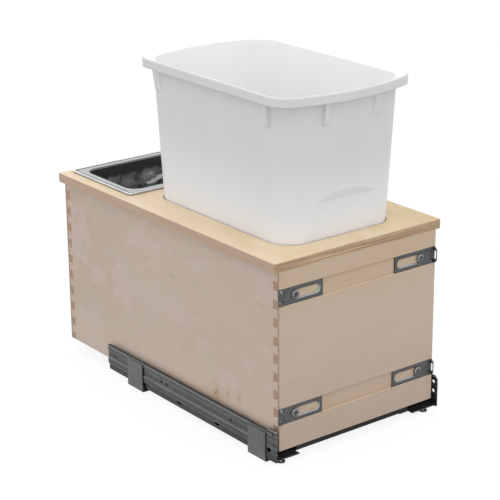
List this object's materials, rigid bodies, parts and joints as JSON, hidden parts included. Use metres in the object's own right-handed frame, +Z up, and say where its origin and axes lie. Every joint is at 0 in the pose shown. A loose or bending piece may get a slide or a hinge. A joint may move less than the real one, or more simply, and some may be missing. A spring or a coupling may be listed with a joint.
{
  "type": "pull-out waste unit",
  "caption": "Dovetailed wooden pull-out for a base cabinet: a waste bin and a food pan hang in a plywood top, on full-extension undermount slides with floor and door brackets.",
  "frame": {"origin": "bottom centre of the whole unit's bounding box, on the cabinet floor", "axes": "+X to the unit's right seen from the front, +Y from the front to the rear of the cabinet, +Z up"},
  "size_m": [0.3046, 0.54, 0.5072],
  "materials": {
    "maple": "clear satin lacquer on pale maple",
    "plywood": "clear satin lacquer on birch plywood, layered edges",
    "dowel_wood": "raw beech",
    "white_plastic": "semi-gloss white polypropylene",
    "stainless": "polished stainless sheet",
    "bracket_steel": "dark zinc, satin",
    "screw_steel": "zinc-plated steel",
    "rail_steel": "grey zinc plate, satin",
    "roller_steel": "ground steel",
    "cage_plastic": "natural acetal",
    "clip_plastic": "grey glass-filled nylon",
    "lever_plastic": "orange acetal",
    "buffer_rubber": "black rubber"
  },
  "bodies": {
    "base": {"cabinet_rail_left": "rail_steel", "cabinet_rail_right": "rail_steel", "floor_bracket_front_left": "bracket_steel", "floor_bracket_front_right": "bracket_steel", "floor_bracket_rear_left": "bracket_steel", "floor_bracket_rear_right": "bracket_steel", "rail_buffer_left": "buffer_rubber", "rail_buffer_right": "buffer_rubber", "floor_bracket_rivets": "screw_steel", "tie_bar": "rail_steel", "tie_bar_rivets": "screw_steel"},
    "drawer": {"side_panel_left": "maple", "side_panel_right": "maple", "front_panel": "maple", "back_panel": "maple", "floor_panel": "maple", "platform": "plywood", "platform_dowels": "dowel_wood", "door_bracket_upper_left": "bracket_steel", "door_bracket_upper_right": "bracket_steel", "door_bracket_lower_left": "bracket_steel", "door_bracket_lower_right": "bracket_steel", "door_bracket_screws": "screw_steel", "drawer_rail_left": "rail_steel", "drawer_rail_right": "rail_steel", "lock_clip_left": "clip_plastic", "lock_clip_right": "clip_plastic", "lever_pins": "screw_steel", "clip_screws": "screw_steel"},
    "bin": {"waste_bin": "white_plastic"},
    "pan": {"food_pan": "stainless"},
    "middle_left": {"middle_rail_left": "rail_steel"},
    "lower_cage_left": {"roller_cage_lower_left": "cage_plastic", "rollers_lower_left": "roller_steel"},
    "upper_cage_left": {"roller_cage_upper_left": "cage_plastic", "rollers_upper_left": "roller_steel"},
    "middle_right": {"middle_rail_right": "rail_steel"},
    "lower_cage_right": {"roller_cage_lower_right": "cage_plastic", "rollers_lower_right": "roller_steel"},
    "upper_cage_right": {"roller_cage_upper_right": "cage_plastic", "rollers_upper_right": "roller_steel"},
    "lever_left": {"release_lever_left": "lever_plastic"},
    "lever_right": {"release_lever_right": "lever_plastic"}
  },
  "joints": [
    {"name": "drawer_slide", "type": "slide", "parent": "base", "child": "drawer", "axis": [0, -1, 0], "range_m": [0, 0.41]},
    {"name": "middle_left_slide", "type": "slide", "parent": "base", "child": "middle_left", "axis": [0, -1, 0], "range_m": [0, 0.205]},
    {"name": "lower_cage_left_slide", "type": "slide", "parent": "base", "child": "lower_cage_left", "axis": [0, -1, 0], "range_m": [0, 0.1025]},
    {"name": "upper_cage_left_slide", "type": "slide", "parent": "base", "child": "upper_cage_left", "axis": [0, -1, 0], "range_m": [0, 0.3075]},
    {"name": "middle_right_slide", "type": "slide", "parent": "base", "child": "middle_right", "axis": [0, -1, 0], "range_m": [0, 0.205]},
    {"name": "lower_cage_right_slide", "type": "slide", "parent": "base", "child": "lower_cage_right", "axis": [0, -1, 0], "range_m": [0, 0.1025]},
    {"name": "upper_cage_right_slide", "type": "slide", "parent": "base", "child": "upper_cage_right", "axis": [0, -1, 0], "range_m": [0, 0.3075]},
    {"name": "bin_lift", "type": "slide", "parent": "drawer", "child": "bin", "axis": [0, 0, 1], "range_m": [0, 0.26]},
    {"name": "pan_lift", "type": "slide", "parent": "drawer", "child": "pan", "axis": [0, 0, 1], "range_m": [0, 0.07]},
    {"name": "lever_left_turn", "type": "hinge", "parent": "drawer", "child": "lever_left", "pos_m": [-0.0981, -0.22735, 0.0269], "axis": [0, 0, -1], "range_deg": [0, 14], "stiffness_Nm_per_rad": 0.04, "springref_deg": -20.05},
    {"name": "lever_right_turn", "type": "hinge", "parent": "drawer", "child": "lever_right", "pos_m": [0.0981, -0.22735, 0.0269], "axis": [0, 0, 1], "range_deg": [0, 14], "stiffness_Nm_per_rad": 0.04, "springref_deg": -20.05}
  ],
  "couplings": [
    {"joint": "middle_left_slide", "follows": "drawer_slide", "ratio": 0.5},
    {"joint": "lower_cage_left_slide", "follows": "drawer_slide", "ratio": 0.25},
    {"joint": "upper_cage_left_slide", "follows": "drawer_slide", "ratio": 0.75},
    {"joint": "middle_right_slide", "follows": "drawer_slide", "ratio": 0.5},
    {"joint": "lower_cage_right_slide", "follows": "drawer_slide", "ratio": 0.25},
    {"joint": "upper_cage_right_slide", "follows": "drawer_slide", "ratio": 0.75}
  ]
}
